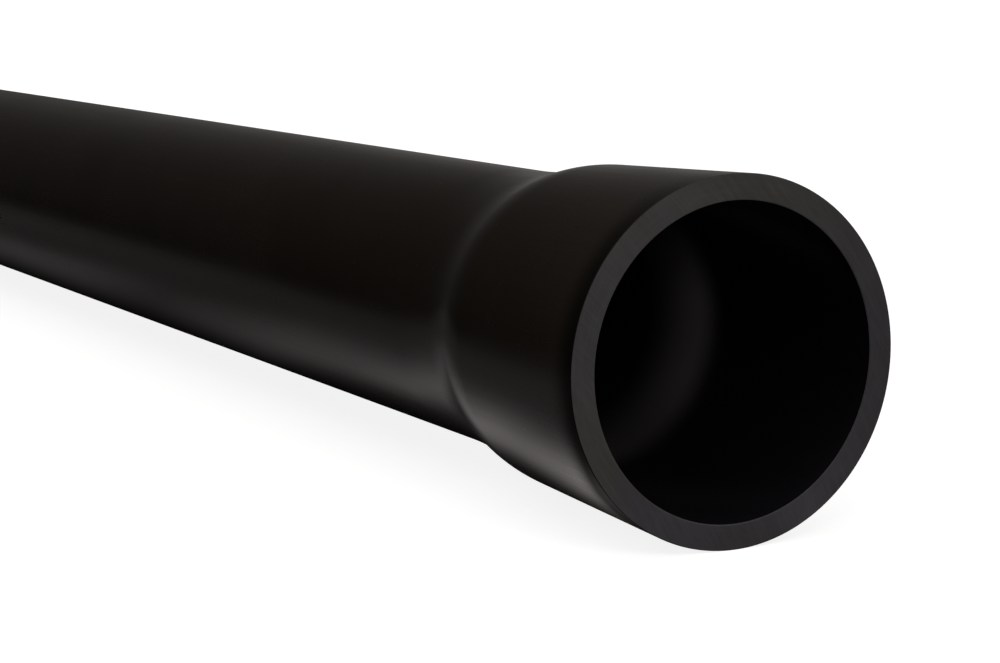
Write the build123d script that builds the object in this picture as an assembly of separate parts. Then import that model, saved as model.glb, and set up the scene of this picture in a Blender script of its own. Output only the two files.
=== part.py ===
from build123d import *
import math
import os

# Solid-wall polyethylene drain pipe with a belled socket.
# Lengths in mm. The pipe lies along Y, socket mouth at the -Y end, +Z up,
# origin on the floor under the middle of the pipe.

# barrel
PIPE_R = 57.15          # outside radius of the 114.3 mm barrel
WALL = 10.4             # barrel wall
BORE_R = PIPE_R - WALL
LENGTH = 3048.0         # overall, mouth to plain end

# socket, outside
MOUTH_R = 67.6          # outside radius at the mouth
TAPER = math.radians(2.165)      # outside narrows away from the mouth
STEEP = math.radians(13.5)       # steepest part of the outer shoulder
TAIL = math.radians(4.75)        # where the shoulder eases into the barrel
SHOULDER_A = 90.0       # outer shoulder starts, from the mouth
SHOULDER_B = 109.0      # steepest
SHOULDER_C = 128.5      # eases
RIM_BREAK = 0.3         # sawn rim, outer edge broken

# socket, inside
MOUTH_IN_R = 58.1       # rim inner radius
SOCKET_R = 57.6         # takes the 57.15 mm plain end with 0.45 mm clearance
LEAD_IN = 5.0           # depth of the slight lead-in
SOCKET_DEPTH = 99.0     # to the root, where the wall starts to bend inwards
INNER_STEEP = math.radians(30.0)  # inner shoulder is steepest just past the root
ROOT_BEND = 20.0        # radius of the bend at the socket root
FOOT_BEND = 55.0        # radius where the inner shoulder runs into the bore

# plain end
END_CHAMFER_L = 4.0
END_CHAMFER_R = 1.2


def arc_end(s, r, a0, a1, radius, turn):
    # end of an arc whose slope angle below the axis goes from a0 to a1;
    # turn is +1 when it steepens and -1 when it eases
    ds = radius * (math.sin(a1) - math.sin(a0)) * turn
    dr = -radius * (math.cos(a0) - math.cos(a1)) * turn
    return s + ds, r + dr


def arc_mid(s, r, a0, a1, radius, turn):
    return arc_end(s, r, a0, 0.5 * (a0 + a1), radius, turn)


# outer profile, mouth to barrel: taper, three tangent arcs, barrel
o0 = (0.0, MOUTH_R)
o1 = (SHOULDER_A, MOUTH_R - SHOULDER_A * math.tan(TAPER))
rad1 = (SHOULDER_B - SHOULDER_A) / (math.sin(STEEP) - math.sin(TAPER))
m1 = arc_mid(*o1, TAPER, STEEP, rad1, 1)
o2 = arc_end(*o1, TAPER, STEEP, rad1, 1)
rad2 = (SHOULDER_C - SHOULDER_B) / (math.sin(STEEP) - math.sin(TAIL))
m2 = arc_mid(*o2, STEEP, TAIL, rad2, -1)
o3 = arc_end(*o2, STEEP, TAIL, rad2, -1)
# the last arc takes up the drop that is left, ending tangent on the barrel
rad3 = (o3[1] - PIPE_R) / (1.0 - math.cos(TAIL))
m3 = arc_mid(*o3, TAIL, 0.0, rad3, -1)
o4 = arc_end(*o3, TAIL, 0.0, rad3, -1)

# inner profile, mouth to bore
i0 = (0.0, MOUTH_IN_R)
i1 = (LEAD_IN, SOCKET_R)
i2 = (SOCKET_DEPTH, SOCKET_R)
n2 = arc_mid(*i2, 0.0, INNER_STEEP, ROOT_BEND, 1)
i3 = arc_end(*i2, 0.0, INNER_STEEP, ROOT_BEND, 1)
foot_drop = FOOT_BEND * (1.0 - math.cos(INNER_STEEP))
cone_len = (i3[1] - BORE_R - foot_drop) / math.tan(INNER_STEEP)
i4 = (i3[0] + cone_len, BORE_R + foot_drop)
n4 = arc_mid(*i4, INNER_STEEP, 0.0, FOOT_BEND, -1)
i5 = arc_end(*i4, INNER_STEEP, 0.0, FOOT_BEND, -1)

print("outer shoulder foot at %.1f mm, radii %.0f %.0f %.0f" % (o4[0], rad1, rad2, rad3))
print("inner shoulder foot at %.1f mm" % i5[0])

# half section in the XY plane: X is the radius, Y runs from the mouth
P = lambda p: (p[1], p[0])
end_o = (LENGTH, PIPE_R - END_CHAMFER_R)
end_c = (LENGTH - END_CHAMFER_L, PIPE_R)
end_i = (LENGTH, BORE_R)
rim_a = (0.0, MOUTH_R - RIM_BREAK)
rim_b = (RIM_BREAK, MOUTH_R - RIM_BREAK * math.tan(TAPER))
axis_z = rim_b[1]       # the widest ring of the socket touches the floor
print("axis height %.3f mm" % axis_z)

with BuildPart() as pipe:
    with BuildSketch(Plane.XY) as section:
        with BuildLine():
            Line(P(rim_b), P(o1))
            ThreePointArc(P(o1), P(m1), P(o2))
            ThreePointArc(P(o2), P(m2), P(o3))
            ThreePointArc(P(o3), P(m3), P(o4))
            Line(P(o4), P(end_c))
            Line(P(end_c), P(end_o))
            Line(P(end_o), P(end_i))
            Line(P(end_i), P(i5))
            ThreePointArc(P(i5), P(n4), P(i4))
            Line(P(i4), P(i3))
            ThreePointArc(P(i3), P(n2), P(i2))
            Line(P(i2), P(i1))
            Line(P(i1), P(i0))
            Line(P(i0), P(rim_a))
            Line(P(rim_a), P(rim_b))
        make_face()
    revolve(axis=Axis.Y)

drain_pipe = pipe.part.moved(Location((0, -LENGTH / 2, axis_z)))
drain_pipe.label = "drain_pipe"

os.makedirs("parts", exist_ok=True)
export_step(drain_pipe, "parts/drain_pipe.step")

bb = drain_pipe.bounding_box()
print("size", bb.size, "min", bb.min, "max", bb.max)
print("volume mm3 %.0f, mass at 955 kg/m3 %.3f kg" % (drain_pipe.volume, drain_pipe.volume * 955e-9))
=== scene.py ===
import math

import bpy
import numpy as np
from mathutils import Matrix, Vector


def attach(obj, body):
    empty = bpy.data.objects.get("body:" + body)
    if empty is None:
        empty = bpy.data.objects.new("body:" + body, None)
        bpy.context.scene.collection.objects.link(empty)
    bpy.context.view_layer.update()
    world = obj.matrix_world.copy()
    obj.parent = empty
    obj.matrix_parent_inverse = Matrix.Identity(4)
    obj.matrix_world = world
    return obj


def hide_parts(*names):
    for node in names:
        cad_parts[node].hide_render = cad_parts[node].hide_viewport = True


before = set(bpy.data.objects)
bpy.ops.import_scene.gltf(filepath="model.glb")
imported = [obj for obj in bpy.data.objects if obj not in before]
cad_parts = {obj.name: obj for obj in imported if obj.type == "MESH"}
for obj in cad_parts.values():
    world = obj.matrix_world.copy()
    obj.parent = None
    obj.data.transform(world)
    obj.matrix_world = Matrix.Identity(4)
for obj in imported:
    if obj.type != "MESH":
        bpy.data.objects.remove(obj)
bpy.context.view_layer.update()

# ---------------------------------------------------------------- the pipe
# Millimetres in this block. s runs along the pipe from the socket mouth.
PIPE_R = 57.15
BORE_R = 46.75
LENGTH = 3048.0
MOUTH_R = 67.6
TAPER = math.radians(2.165)
STEEP = math.radians(13.5)
TAIL = math.radians(4.75)
SH_A, SH_B, SH_C = 90.0, 109.0, 128.5
RIM_BREAK = 0.3
MOUTH_IN_R = 58.1
SOCKET_R = 57.6
LEAD_IN = 5.0
SOCKET_DEPTH = 99.0
INNER_STEEP = math.radians(30.0)
ROOT_BEND = 20.0
FOOT_BEND = 55.0
CHAMFER_L, CHAMFER_R = 4.0, 1.2
AXIS_Z = MOUTH_R - RIM_BREAK * math.tan(TAPER)
LIP = 13.0        # closer rings behind the rim

AROUND = 432
SKIN, SAWN, BORE = 0, 1, 2


def arc(s, r, a0, a1, radius, turn, n):
    out = []
    for k in range(1, n + 1):
        a = a0 + (a1 - a0) * k / n
        out.append((s + radius * (math.sin(a) - math.sin(a0)) * turn,
                    r - radius * (math.cos(a0) - math.cos(a)) * turn))
    return out


def outer_line():
    line = []
    # softly rounded outer edge of the sawn rim
    n = 4
    for k in range(n + 1):
        a = 0.5 * math.pi * k / n
        line.append((RIM_BREAK * (1 - math.cos(a)), AXIS_Z - RIM_BREAK * (1 - math.sin(a))))
    start = line[-1][0]
    for k in range(1, 12):
        s = start + (LIP - start) * (k / 11) ** 1.5
        line.append((s, MOUTH_R - s * math.tan(TAPER)))
    for k in range(1, 11):
        s = LIP + (SH_A - LIP) * k / 10
        line.append((s, MOUTH_R - s * math.tan(TAPER)))
    s, r = line[-1]
    rad1 = (SH_B - SH_A) / (math.sin(STEEP) - math.sin(TAPER))
    line += arc(s, r, TAPER, STEEP, rad1, 1, 12)
    s, r = line[-1]
    rad2 = (SH_C - SH_B) / (math.sin(STEEP) - math.sin(TAIL))
    line += arc(s, r, STEEP, TAIL, rad2, -1, 12)
    s, r = line[-1]
    rad3 = (r - PIPE_R) / (1 - math.cos(TAIL))
    line += arc(s, r, TAIL, 0.0, rad3, -1, 12)
    s = line[-1][0]
    end = LENGTH - CHAMFER_L
    for k in range(1, 19):
        line.append((s + (end - s) * (k / 18) ** 1.6, PIPE_R))
    line[-1] = (end, PIPE_R)
    line.insert(-1, (end - 0.3, PIPE_R))
    line.append((end + 0.3, PIPE_R - 0.3 * CHAMFER_R / CHAMFER_L))
    line.append((LENGTH - 0.25, PIPE_R - CHAMFER_R + 0.25 * CHAMFER_R / CHAMFER_L))
    return line


def inner_line():
    line = []
    # soft inner edge of the sawn rim, then the lead-in
    n = 4
    e = 0.45
    for k in range(n + 1):
        a = 0.5 * math.pi * k / n
        line.append((e * (1 - math.cos(a)), MOUTH_IN_R + e * (1 - math.sin(a)) - e * (MOUTH_IN_R - SOCKET_R) / LEAD_IN))
    for s in (1.0, 2.0, 3.5, LEAD_IN - 0.3):
        line.append((s, MOUTH_IN_R - s * (MOUTH_IN_R - SOCKET_R) / LEAD_IN))
    for s in (LEAD_IN + 0.3, 8, 14, 24, 40, 60, 80, 92, SOCKET_DEPTH):
        line.append((s, SOCKET_R))
    s, r = line[-1]
    line += arc(s, r, 0.0, INNER_STEEP, ROOT_BEND, 1, 14)
    s, r = line[-1]
    drop = FOOT_BEND * (1 - math.cos(INNER_STEEP))
    s += (r - BORE_R - drop) / math.tan(INNER_STEEP)
    r = BORE_R + drop
    line.append((s, r))
    line += arc(s, r, INNER_STEEP, 0.0, FOOT_BEND, -1, 22)
    s = line[-1][0]
    for k in range(1, 17):
        line.append((s + (LENGTH - 0.4 - s) * (k / 16) ** 1.4, BORE_R))
    return line


def build_pipe():
    outer, inner = outer_line(), inner_line()
    ring = [(s, r, SAWN if k < 1 else SKIN) for k, (s, r) in enumerate(outer)]
    # plain end: edge break, flat sawn face with support rings, bore edge
    ro = outer[-1][1]
    ring += [(LENGTH - 0.07, ro - 0.14, SKIN), (LENGTH, ro - 0.4, SAWN), (LENGTH, ro - 0.7, SAWN),
             (LENGTH, BORE_R + 0.7, SAWN), (LENGTH, BORE_R + 0.4, SAWN), (LENGTH - 0.1, BORE_R + 0.1, BORE)]
    ring += [(s, r, BORE if s > 0.5 else SAWN) for s, r in reversed(inner)]
    # mouth: flat sawn face with support rings
    ri, rm = inner[0][1], outer[0][1]
    ring[-1] = (0.0, ri, SAWN)
    for r in (ri + 0.3, ri + 1.2, 0.5 * (ri + rm), rm - 1.2, rm - 0.3):
        ring.append((0.0, r, SAWN))
    ring = np.array(ring)
    m = len(ring)
    ang = 2 * math.pi * np.arange(AROUND) / AROUND
    s, r = ring[:, 0], ring[:, 1]
    co = np.empty((m, AROUND, 3))
    co[:, :, 0] = r[:, None] * np.sin(ang)
    co[:, :, 1] = (s - LENGTH / 2)[:, None]
    co[:, :, 2] = AXIS_Z + r[:, None] * np.cos(ang)
    co = co.reshape(-1, 3) / 1000.0
    i = np.arange(m)[:, None]
    j = np.arange(AROUND)[None, :]
    i2, j2 = (i + 1) % m, (j + 1) % AROUND
    quads = np.stack([i * AROUND + j, i2 * AROUND + j, i2 * AROUND + j2, i * AROUND + j2], -1).reshape(-1, 4)
    mats = np.repeat(ring[:, 2].astype(int), AROUND)
    me = bpy.data.meshes.new("pipe")
    me.from_pydata(co.tolist(), [], quads.tolist())
    me.polygons.foreach_set("material_index", mats)
    me.polygons.foreach_set("use_smooth", np.ones(len(quads), dtype=bool))
    uv = me.uv_layers.new(name="UVMap")
    # wrapped outside and inside: across is the girth, along is the profile
    run = np.concatenate([[0], np.cumsum(np.hypot(np.diff(s), np.diff(r)))]) / 1000.0
    total = run[-1] + 0.005
    v0 = np.repeat(run / total, AROUND)
    v1 = np.repeat(np.append(run[1:], total) / total, AROUND)
    u0 = np.tile(np.arange(AROUND) / AROUND, m)
    u1 = u0 + 1.0 / AROUND
    uvs = np.stack([np.stack([u0, v0], -1), np.stack([u0, v1], -1), np.stack([u1, v1], -1), np.stack([u1, v0], -1)], 1)
    uv.data.foreach_set("uv", uvs.reshape(-1))
    me.update()
    me.validate()
    ob = bpy.data.objects.new("drain_pipe_body", me)
    bpy.context.scene.collection.objects.link(ob)
    return ob


# ---------------------------------------------------------------- materials
class Tree:
    def __init__(self, tree):
        self.t = tree

    def add(self, kind, **props):
        n = self.t.nodes.new(kind)
        for k, v in props.items():
            setattr(n, k, v)
        return n

    def link(self, a, b):
        self.t.links.new(a, b)

    def math(self, op, a, b=None, clamp=False):
        n = self.add("ShaderNodeMath", operation=op, use_clamp=clamp)
        for k, v in enumerate((a, b)):
            if v is None:
                continue
            if isinstance(v, (int, float)):
                n.inputs[k].default_value = v
            else:
                self.link(v, n.inputs[k])
        return n.outputs[0]

    def remap(self, x, a, b, c, d, kind="LINEAR"):
        n = self.add("ShaderNodeMapRange", clamp=True, interpolation_type=kind)
        self.link(x, n.inputs[0])
        for k, v in enumerate((a, b, c, d)):
            n.inputs[k + 1].default_value = v
        return n.outputs[0]

    def scaled(self, vec, x, y, z, shift=(0, 0, 0)):
        n = self.add("ShaderNodeMapping")
        self.link(vec, n.inputs["Vector"])
        n.inputs["Scale"].default_value = (x, y, z)
        n.inputs["Location"].default_value = shift
        return n.outputs[0]

    def noise(self, vec, scale, detail=2.0, rough=0.5, distort=0.0):
        n = self.add("ShaderNodeTexNoise")
        self.link(vec, n.inputs["Vector"])
        n.inputs["Scale"].default_value = scale
        n.inputs["Detail"].default_value = detail
        n.inputs["Roughness"].default_value = rough
        n.inputs["Distortion"].default_value = distort
        return n.outputs[0]

    def mix(self, f, a, b):
        n = self.add("ShaderNodeMix", data_type="RGBA")
        self.link(f, n.inputs[0])
        for sock, v in ((n.inputs[6], a), (n.inputs[7], b)):
            if isinstance(v, tuple):
                sock.default_value = (*v, 1.0)
            else:
                self.link(v, sock)
        return n.outputs[2]


def material(name):
    m = bpy.data.materials.new(name)
    m.use_nodes = True
    m.node_tree.nodes.clear()
    t = Tree(m.node_tree)
    out = t.add("ShaderNodeOutputMaterial")
    b = t.add("ShaderNodeBsdfPrincipled")
    t.link(b.outputs[0], out.inputs[0])
    co = t.add("ShaderNodeTexCoord").outputs["Object"]
    return m, t, b, co


def skin_material():
    """Extruded and belled outer skin: satin black polyethylene."""
    m, t, b, co = material("pe_skin")
    # die lines run along the pipe, so the pattern is stretched along Y
    lines = t.noise(t.scaled(co, 260, 0.9, 260), 1.0, 3.0, 0.6)
    fine = t.noise(t.scaled(co, 1100, 5.0, 1100, (3.1, 0.4, 7.7)), 1.0, 2.0, 0.5)
    cloud = t.noise(co, 9.0, 4.0, 0.55, 0.6)
    peel = t.noise(co, 620.0, 2.0, 0.5)
    wave = t.noise(t.scaled(co, 38, 12, 38, (1.7, 2.2, 0.3)), 1.0, 2.0, 0.5)
    # sparse hair scratches and rub marks from handling
    rub = t.noise(t.scaled(co, 75, 300, 120, (5, 1, 2)), 1.0, 2.0, 0.6, 1.5)
    hair = t.remap(rub, 0.70, 0.78, 0.0, 1.0)
    base = t.mix(cloud, (0.0104, 0.0081, 0.0062), (0.0148, 0.0118, 0.0093))
    base = t.mix(t.math("MULTIPLY", hair, 0.25), base, (0.030, 0.027, 0.025))
    # painted shade: the lip behind the saw cut gets a darker colour and a lower specular level, standing
    # in for fall-off of the light there; fitted by grey level to the photograph; whether the plastic or
    # the light makes it dark isn't known
    sep = t.add("ShaderNodeSeparateXYZ")
    t.link(co, sep.inputs[0])
    mouth = -LENGTH / 2000
    axis = AXIS_Z / 1000
    edge = t.math("ADD", sep.outputs[1], t.math("MULTIPLY", t.math("SUBTRACT", wave, 0.5), 0.004))
    edge = t.math("SUBTRACT", edge, t.remap(sep.outputs[2], axis - 0.045, axis - 0.012, 0.004, -0.0015))
    lip = t.remap(edge, mouth + 0.002, mouth + 0.0185, 1.0, 0.0, "SMOOTHSTEP")
    base = t.mix(lip, base, (0.0040, 0.0034, 0.0029))
    t.link(base, b.inputs["Base Color"])
    side = t.math("MULTIPLY", t.remap(sep.outputs[2], axis - 0.030, axis + 0.060, 0.90, 0.36),
                  t.remap(sep.outputs[2], axis + 0.050, axis + 0.064, 1.0, 0.25))
    # painted shade in the specular level: the lip's gloss is lowered, more towards the bottom
    lip_spec_shade = t.math("POWER", t.math("SUBTRACT", 1.0, t.math("MULTIPLY", lip, side)), 1.9)
    t.link(t.math("MULTIPLY", lip_spec_shade, 0.5), b.inputs["Specular IOR Level"])
    r = t.math("ADD", t.remap(cloud, 0.3, 0.7, 0.240, 0.290), t.remap(lines, 0.3, 0.7, -0.014, 0.014))
    r = t.math("ADD", r, t.math("MULTIPLY", lip, 0.02))
    r = t.math("ADD", r, t.math("MULTIPLY", hair, 0.05))
    t.link(r, b.inputs["Roughness"])
    h = t.math("MULTIPLY", lines, 0.55)
    h = t.math("ADD", h, t.math("MULTIPLY", fine, 0.08))
    h = t.math("ADD", h, t.math("MULTIPLY", peel, 0.10))
    h = t.math("ADD", h, t.math("MULTIPLY", wave, 0.9))
    h = t.math("SUBTRACT", h, t.math("MULTIPLY", hair, 0.05))
    bump = t.add("ShaderNodeBump")
    bump.inputs["Strength"].default_value = 1.0
    bump.inputs["Distance"].default_value = 0.00006
    t.link(h, bump.inputs["Height"])
    t.link(bump.outputs[0], b.inputs["Normal"])
    b.inputs["IOR"].default_value = 1.5
    return m


def sawn_material():
    """Square saw cut: paler, matt, with fine curved blade marks."""
    m, t, b, co = material("pe_sawn")
    sep = t.add("ShaderNodeSeparateXYZ")
    t.link(co, sep.inputs[0])
    x, z = sep.outputs[0], t.math("SUBTRACT", sep.outputs[2], AXIS_Z / 1000)
    wob = t.noise(co, 60.0, 3.0, 0.6)

    def streaks(cx, cz, pitch, run, detail):
        # arcs about (cx, cz), broken up along their length
        px, pz = t.math("SUBTRACT", x, cx), t.math("SUBTRACT", z, cz)
        d = t.math("SQRT", t.math("ADD", t.math("MULTIPLY", px, px), t.math("MULTIPLY", pz, pz)))
        d = t.math("ADD", d, t.math("MULTIPLY", wob, 0.0010))
        comb = t.add("ShaderNodeCombineXYZ")
        t.link(t.math("MULTIPLY", d, pitch), comb.inputs[0])
        t.link(t.math("MULTIPLY", t.math("ARCTAN2", px, pz), run), comb.inputs[1])
        return t.noise(comb.outputs[0], 1.0, detail, 0.65)

    # blade marks sweep across the rim, and a faint turned mark follows it
    blade = streaks(-0.31, -0.21, 520.0, 11.0, 4.0)
    fine = streaks(-0.31, -0.21, 1500.0, 30.0, 2.0)
    turned = streaks(0.0, 0.0, 700.0, 5.0, 3.0)
    patch = t.noise(co, 34.0, 3.0, 0.55)
    fuzz = t.noise(co, 1800.0, 2.0, 0.6)
    tone = t.math("ADD", t.math("MULTIPLY", blade, 0.34), t.math("MULTIPLY", fine, 0.16))
    tone = t.math("ADD", tone, t.math("MULTIPLY", turned, 0.18))
    tone = t.math("ADD", tone, t.math("MULTIPLY", patch, 0.32))
    # painted light: the face is made paler towards the bottom
    tone = t.math("ADD", tone, t.remap(z, -0.067, 0.0, 0.09, 0.0))
    # tone correction fitted to the photograph: darker down the +X side and
    # paler at the bottom; it stands in for fall-off of the light
    painted_shade_side = t.math("MULTIPLY", t.remap(x, 0.014, 0.056, 0.0, 1.0, "SMOOTHSTEP"), t.remap(z, -0.01, 0.045, 0.095, 0.03))
    # painted light: paler at the bottom, most on the -X half
    rough = t.math("MULTIPLY", t.remap(z, -0.068, -0.044, 1.0, 0.0, "SMOOTHSTEP"), t.remap(x, 0.0, 0.03, 0.065, 0.0))
    tone = t.math("ADD", t.math("SUBTRACT", tone, painted_shade_side), rough)
    tone = t.remap(tone, 0.36, 0.66, 0.0, 1.0)
    tint = t.math("ADD", t.noise(co, 15.0, 2.0, 0.5), t.math("MULTIPLY", z, 3.0))
    tint = t.math("SUBTRACT", tint, t.math("MULTIPLY", x, 1.4))
    tint = t.remap(tint, 0.35, 0.65, 0.0, 1.0)
    cool = t.mix(tone, (0.0256, 0.0243, 0.0278), (0.0478, 0.0456, 0.0516))
    warm = t.mix(tone, (0.0252, 0.0248, 0.0232), (0.0468, 0.0462, 0.0436))
    t.link(t.mix(tint, cool, warm), b.inputs["Base Color"])
    grain = t.math("ADD", t.math("MULTIPLY", blade, 0.5), t.math("MULTIPLY", fuzz, 0.5))
    t.link(t.remap(grain, 0.3, 0.7, 0.52, 0.62), b.inputs["Roughness"])
    h = t.math("ADD", blade, t.math("MULTIPLY", fuzz, 0.25))
    h = t.math("ADD", h, t.math("MULTIPLY", fine, 0.5))
    bump = t.add("ShaderNodeBump")
    bump.inputs["Strength"].default_value = 1.0
    bump.inputs["Distance"].default_value = 0.00009
    t.link(h, bump.inputs["Height"])
    t.link(bump.outputs[0], b.inputs["Normal"])
    b.inputs["IOR"].default_value = 1.5
    b.inputs["Specular IOR Level"].default_value = 0.3
    return m


def bore_material():
    """Inside of the socket and bore: the same plastic, a little duller."""
    m, t, b, co = material("pe_bore")
    lines = t.noise(t.scaled(co, 300, 1.1, 300, (4, 2, 9)), 1.0, 3.0, 0.6)
    cloud = t.noise(co, 14.0, 3.0, 0.55, 0.4)
    peel = t.noise(co, 500.0, 2.0, 0.5)
    sep = t.add("ShaderNodeSeparateXYZ")
    t.link(co, sep.inputs[0])
    # painted light: slightly paler low down, where light through the mouth falls; fitted to the photograph
    low = t.math("ADD", sep.outputs[2], t.math("MULTIPLY", cloud, 0.02))
    low = t.remap(low, AXIS_Z / 1000 - 0.042, AXIS_Z / 1000 + 0.034, 1.0, 0.0, "SMOOTHSTEP")
    base = t.mix(cloud, (0.0014, 0.0012, 0.0013), (0.0026, 0.0023, 0.0024))
    base = t.mix(low, base, (0.0047, 0.0042, 0.0053))
    # paler band on the inner shoulder, fitted to the faint crescent in the
    # photograph; it stands in for a reflection and isn't a known mark
    s = t.math("MULTIPLY", t.math("SUBTRACT", sep.outputs[1], -LENGTH / 2000), 1000.0)
    s = t.math("ADD", s, t.math("MULTIPLY", t.math("SUBTRACT", cloud, 0.5), 6.0))
    band = t.math("MULTIPLY", t.remap(s, SOCKET_DEPTH - 5, SOCKET_DEPTH + 12, 0.0, 1.0, "SMOOTHSTEP"),
                  t.remap(s, SOCKET_DEPTH + 10, SOCKET_DEPTH + 40, 1.0, 0.0, "SMOOTHSTEP"))
    zz = t.math("SUBTRACT", t.math("MULTIPLY", sep.outputs[2], 1000.0), AXIS_Z)
    band = t.math("MULTIPLY", band, t.remap(zz, 2, 50, 1.0, 0.04, "SMOOTHSTEP"))
    band = t.math("MULTIPLY", band, t.remap(zz, -52, -22, 0.5, 1.0, "SMOOTHSTEP"))
    base = t.mix(band, base, (0.0372, 0.0338, 0.0372))
    t.link(base, b.inputs["Base Color"])
    # formed socket wall is smooth, the shoulder and the extruded bore are duller
    root = -LENGTH / 2000 + SOCKET_DEPTH / 1000
    deep = t.remap(sep.outputs[1], root - 0.012, root + 0.008, 0.0, 1.0, "SMOOTHSTEP")
    r = t.math("ADD", t.remap(cloud, 0.3, 0.7, 0.20, 0.24), t.remap(lines, 0.3, 0.7, -0.02, 0.02))
    t.link(t.math("ADD", r, t.math("MULTIPLY", deep, 0.24)), b.inputs["Roughness"])
    bump = t.add("ShaderNodeBump")
    bump.inputs["Strength"].default_value = 1.0
    bump.inputs["Distance"].default_value = 0.00006
    t.link(t.math("ADD", t.math("MULTIPLY", lines, 0.6), t.math("MULTIPLY", peel, 0.12)), bump.inputs["Height"])
    t.link(bump.outputs[0], b.inputs["Normal"])
    b.inputs["IOR"].default_value = 1.5
    return m


pipe = build_pipe()
for mat in (skin_material(), sawn_material(), bore_material()):
    pipe.data.materials.append(mat)
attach(pipe, "root")
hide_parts("drain_pipe")

# ---------------------------------------------------------------- stage
scene = bpy.context.scene
scene.view_settings.view_transform = "Standard"
scene.view_settings.look = "None"
scene.view_settings.exposure = 0.0
scene.view_settings.gamma = 1.0

MOUTH = Vector((0.0, -LENGTH / 2000, AXIS_Z / 1000))
RAYS = ("visible_camera", "visible_diffuse", "visible_glossy", "visible_shadow", "visible_transmission",
        "visible_volume_scatter")


def staged(name, verts, faces, seen_by):
    me = bpy.data.meshes.new(name)
    me.from_pydata(verts, [], faces)
    ob = bpy.data.objects.new(name, me)
    scene.collection.objects.link(ob)
    for flag in RAYS:
        setattr(ob, flag, flag in seen_by)
    m = bpy.data.materials.new(name)
    m.use_nodes = True
    m.node_tree.nodes.clear()
    me.materials.append(m)
    return ob, m, Tree(m.node_tree)


def square(half, z):
    return [(-half, -half, z), (half, -half, z), (half, half, z), (-half, half, z)], [(0, 1, 2, 3)]


# pale floor: lifted by a little light of its own, so that its shadows stay soft
floor, floor_m, t = staged("floor", *square(40, 0.0), ("visible_camera", "visible_shadow"))
out = t.add("ShaderNodeOutputMaterial")
b = t.add("ShaderNodeBsdfPrincipled")
t.link(b.outputs[0], out.inputs[0])
b.inputs["Base Color"].default_value = (0.34, 0.34, 0.34, 1)
b.inputs["Roughness"].default_value = 0.9
b.inputs["Specular IOR Level"].default_value = 0.0
b.inputs["Emission Color"].default_value = (1, 1, 1, 1)
b.inputs["Emission Strength"].default_value = 0.86
floor_m.cycles.emission_sampling = "NONE"

# pale backdrop beyond the floor, for low views
N = 48
rings = [(60 * math.cos(e), 60 * math.sin(e)) for e in (math.radians(v) for v in (-4, 2, 8, 16, 28, 45, 65))]
verts = [(r * math.cos(2 * math.pi * k / N), r * math.sin(2 * math.pi * k / N), z) for r, z in rings for k in range(N)]
verts.append((0, 0, 60))
faces = [(i * N + k, i * N + (k + 1) % N, (i + 1) * N + (k + 1) % N, (i + 1) * N + k)
         for i in range(len(rings) - 1) for k in range(N)]
faces += [((len(rings) - 1) * N + k, (len(rings) - 1) * N + (k + 1) % N, len(verts) - 1) for k in range(N)]
dome, dome_m, t = staged("backdrop", verts, faces, ("visible_camera",))
out = t.add("ShaderNodeOutputMaterial")
em = t.add("ShaderNodeEmission")
t.link(em.outputs[0], out.inputs[0])
em.inputs["Color"].default_value = (1, 1, 1, 1)
em.inputs["Strength"].default_value = 1.0
dome_m.cycles.emission_sampling = "NONE"

# what the satin skin mirrors of the floor: a lit strip along each side of the
# pipe, seen in reflections only. Its place, width and level were solved so that
# the skin's grey levels come out as in the photograph; they weren't measured
card, card_m, t = staged("floor_glow", *square(4, 0.0004), ("visible_glossy",))
out = t.add("ShaderNodeOutputMaterial")
em = t.add("ShaderNodeEmission")
t.link(em.outputs[0], out.inputs[0])
sp = t.add("ShaderNodeSeparateXYZ")
t.link(t.add("ShaderNodeTexCoord").outputs["Object"], sp.inputs[0])
across = t.math("MULTIPLY", t.math("ABSOLUTE", sp.outputs[0]), 1000.0)
along = t.math("MULTIPLY", t.math("SUBTRACT", sp.outputs[1], MOUTH.y), 1000.0)


def curve(x, points):
    """Piecewise straight curve through (x, y) points."""
    lo, hi = points[0][0], points[-1][0]
    top = max(y for _, y in points)
    n = t.add("ShaderNodeFloatCurve")
    cv = n.mapping.curves[0]
    while len(cv.points) < len(points):
        cv.points.new(0.5, 0.5)
    for q, (a, y) in zip(cv.points, points):
        q.location = ((a - lo) / (hi - lo), y / top)
        q.handle_type = "VECTOR"
    n.mapping.update()
    t.link(t.remap(x, lo, hi, 0.0, 1.0), n.inputs["Value"])
    return t.math("MULTIPLY", n.outputs[0], top)


centre = curve(along, [(-60, 45.3), (0, 47.2), (60, 49.5), (120, 52.5), (200, 56.2), (280, 58.4), (360, 57.4), (450, 57.0),
                       (600, 57.6), (1000, 60.1)])
inner = curve(along, [(0, 8.4), (120, 5.2), (250, 8.4), (400, 14.7), (800, 14.9)])
outer = curve(along, [(0, 11.7), (120, 17.1), (250, 23.7), (400, 32.0), (800, 14.1)])
level = curve(along, [(-120, 0.05), (-60, 1.1), (-20, 1.55), (0, 1.43), (40, 0.975), (80, 0.592), (120, 0.498), (160, 0.583),
                      (220, 0.360), (300, 0.195), (380, 0.148), (460, 0.0853), (560, 0.0449), (700, 0.0908), (1000, 0.102)])
spill = curve(along, [(-60, 0.055), (60, 0.077), (200, 0.103), (400, 0.072), (800, 0.067)])
off = t.math("SUBTRACT", across, centre)
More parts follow.
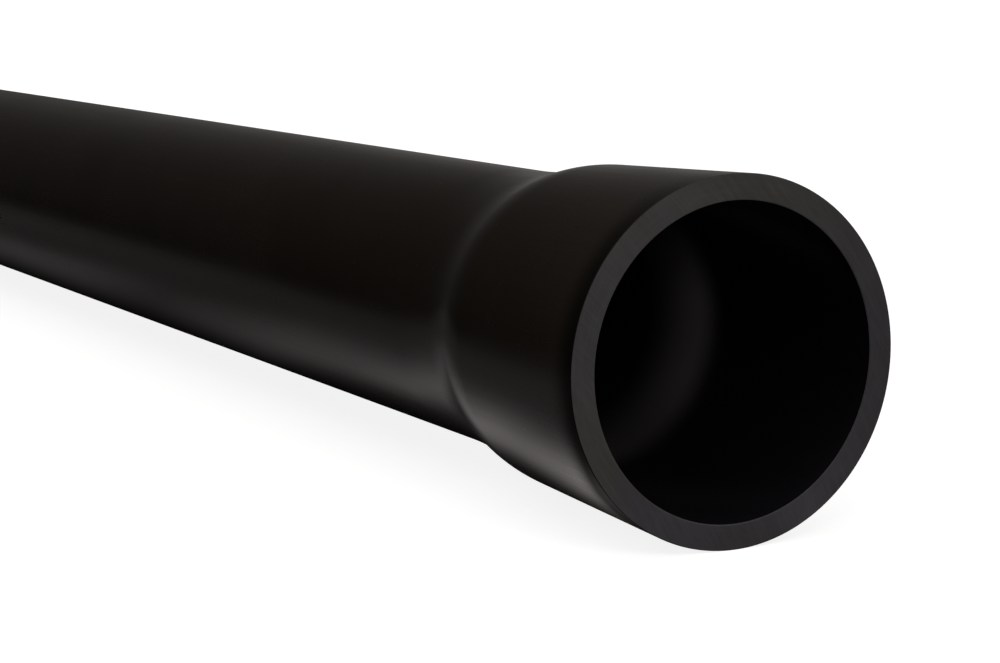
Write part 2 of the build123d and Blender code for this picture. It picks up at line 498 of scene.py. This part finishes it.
# on the far side of the pipe the lit floor is broader
far = t.math("GREATER_THAN", sp.outputs[0], 0.0)
far = t.math("MULTIPLY", far, t.remap(across, 60, 95, 0.0, 1.0, "SMOOTHSTEP"))
far = t.math("MULTIPLY", far, t.remap(across, 150, 1600, 0.45, 0.0, "SMOOTHSTEP"))
is_out = t.math("GREATER_THAN", off, 0.0)
width = t.math("ADD", t.math("MULTIPLY", is_out, outer), t.math("MULTIPLY", t.math("SUBTRACT", 1.0, is_out), inner))
z = t.math("DIVIDE", off, width)
strip = t.math("MULTIPLY", t.math("EXPONENT", t.math("MULTIPLY", t.math("MULTIPLY", z, z), -0.5)), level)
z = t.math("DIVIDE", t.math("SUBTRACT", across, 170.0), 60.0)
wide = t.math("MULTIPLY", t.math("EXPONENT", t.math("MULTIPLY", t.math("MULTIPLY", z, z), -0.5)), spill)
t.link(t.math("ADD", t.math("ADD", strip, wide), far), em.inputs["Strength"])
em.inputs["Color"].default_value = (1.0, 0.947, 0.928, 1)
card_m.cycles.emission_sampling = "NONE"

# studio sky of soft lobes, one at the left, one overhead, fill in front and at
# the right, and narrow ones behind; strengths fitted to the photograph
world = bpy.data.worlds.new("studio")
scene.world = world
world.use_nodes = True
world.node_tree.nodes.clear()
t = Tree(world.node_tree)
out = t.add("ShaderNodeOutputWorld")
bg = t.add("ShaderNodeBackground")
t.link(bg.outputs[0], out.inputs[0])
direction = t.add("ShaderNodeTexCoord").outputs["Generated"]
LOBES = [  # elevation, azimuth from +Y towards +X, strength, tightness
    (3, 355, 0.0195, 40), (9, 10, 0.0411, 40), (8, 35, 0.116, 14), (2, 27, 0.16, 120), (2, 38, 0.12, 120),
    (50, 270, 2.1, 14), (90, 0, 1.4, 10),
    (40, 110, 0.9, 8), (5, 185, 0.40, 4),
]
total = None
for el, az, strength, tight in LOBES:
    e, a = math.radians(el), math.radians(az)
    dot = t.add("ShaderNodeVectorMath", operation="DOT_PRODUCT")
    t.link(direction, dot.inputs[0])
    dot.inputs[1].default_value = (math.sin(a) * math.cos(e), math.cos(a) * math.cos(e), math.sin(e))
    v = t.math("MULTIPLY", t.math("SUBTRACT", dot.outputs["Value"], 1.0), float(tight))
    v = t.math("MULTIPLY", t.math("EXPONENT", v), strength)
    total = v if total is None else t.math("ADD", total, v)
t.link(total, bg.inputs["Strength"])
bg.inputs["Color"].default_value = (1.0, 0.957, 0.93, 1)



def lamp(name, place, aim, size, power):
    """Soft square lamp that lights without being mirrored; place and aim in metres."""
    data = bpy.data.lights.new(name, "AREA")
    data.shape = "SQUARE"
    data.size = size
    data.energy = power
    data.color = (1.0, 0.975, 0.955)
    ob = bpy.data.objects.new(name, data)
    ob.location = place
    ob.rotation_euler = (aim - place).to_track_quat("-Z", "Y").to_euler()
    scene.collection.objects.link(ob)
    ob.visible_camera = False
    ob.visible_glossy = False
    return ob


# a small near lamp gives the rim its fall-off and reaches into the socket as
# far as the inner shoulder; another one lights the plain end
lamp("rim_lamp", MOUTH + Vector((-0.09, -0.19, 0.10)), MOUTH, 0.08, 0.24)
END = Vector((0.0, LENGTH / 2000, AXIS_Z / 1000))
lamp("end_lamp", END + Vector((-0.25, 0.45, 0.35)), END, 0.30, 6.0)

# ---------------------------------------------------------------- camera
# Recovered from the rim, the bore edge and the barrel's sides in the photograph.
R_UNIT = MOUTH_R / 1000
F_PX = 2426.7
U0, V0, DEPTH = 736.777, 363.709, 12.7025
TURN, PITCH = math.radians(28.2554), math.radians(7.5058)
c = np.array([(U0 - 500) / F_PX, (V0 - 331.5) / F_PX, 1.0]) * DEPTH * R_UNIT
d = np.array([-math.sin(TURN) * math.cos(PITCH), -math.sin(PITCH), math.cos(TURN) * math.cos(PITCH)])
tilt = math.atan2(-d[1], d[2])
u = np.array([0, -math.cos(tilt), -math.sin(tilt)])
v = np.cross(d, u)
W = np.stack([v, d, u])          # camera (right, down, forward) to world
pos = np.array(MOUTH) - W @ c
cam_data = bpy.data.cameras.new("camera")
cam_data.sensor_fit = "HORIZONTAL"
cam_data.sensor_width = 36.0
cam_data.lens = F_PX * 36.0 / 1000.0
cam_data.clip_start = 0.05
cam_data.clip_end = 200
cam = bpy.data.objects.new("camera", cam_data)
scene.collection.objects.link(cam)
m = Matrix.Identity(4)
for i in range(3):
    m[i][0], m[i][1], m[i][2], m[i][3] = W[i][0], -W[i][1], -W[i][2], pos[i]
cam.matrix_world = m
scene.camera = cam
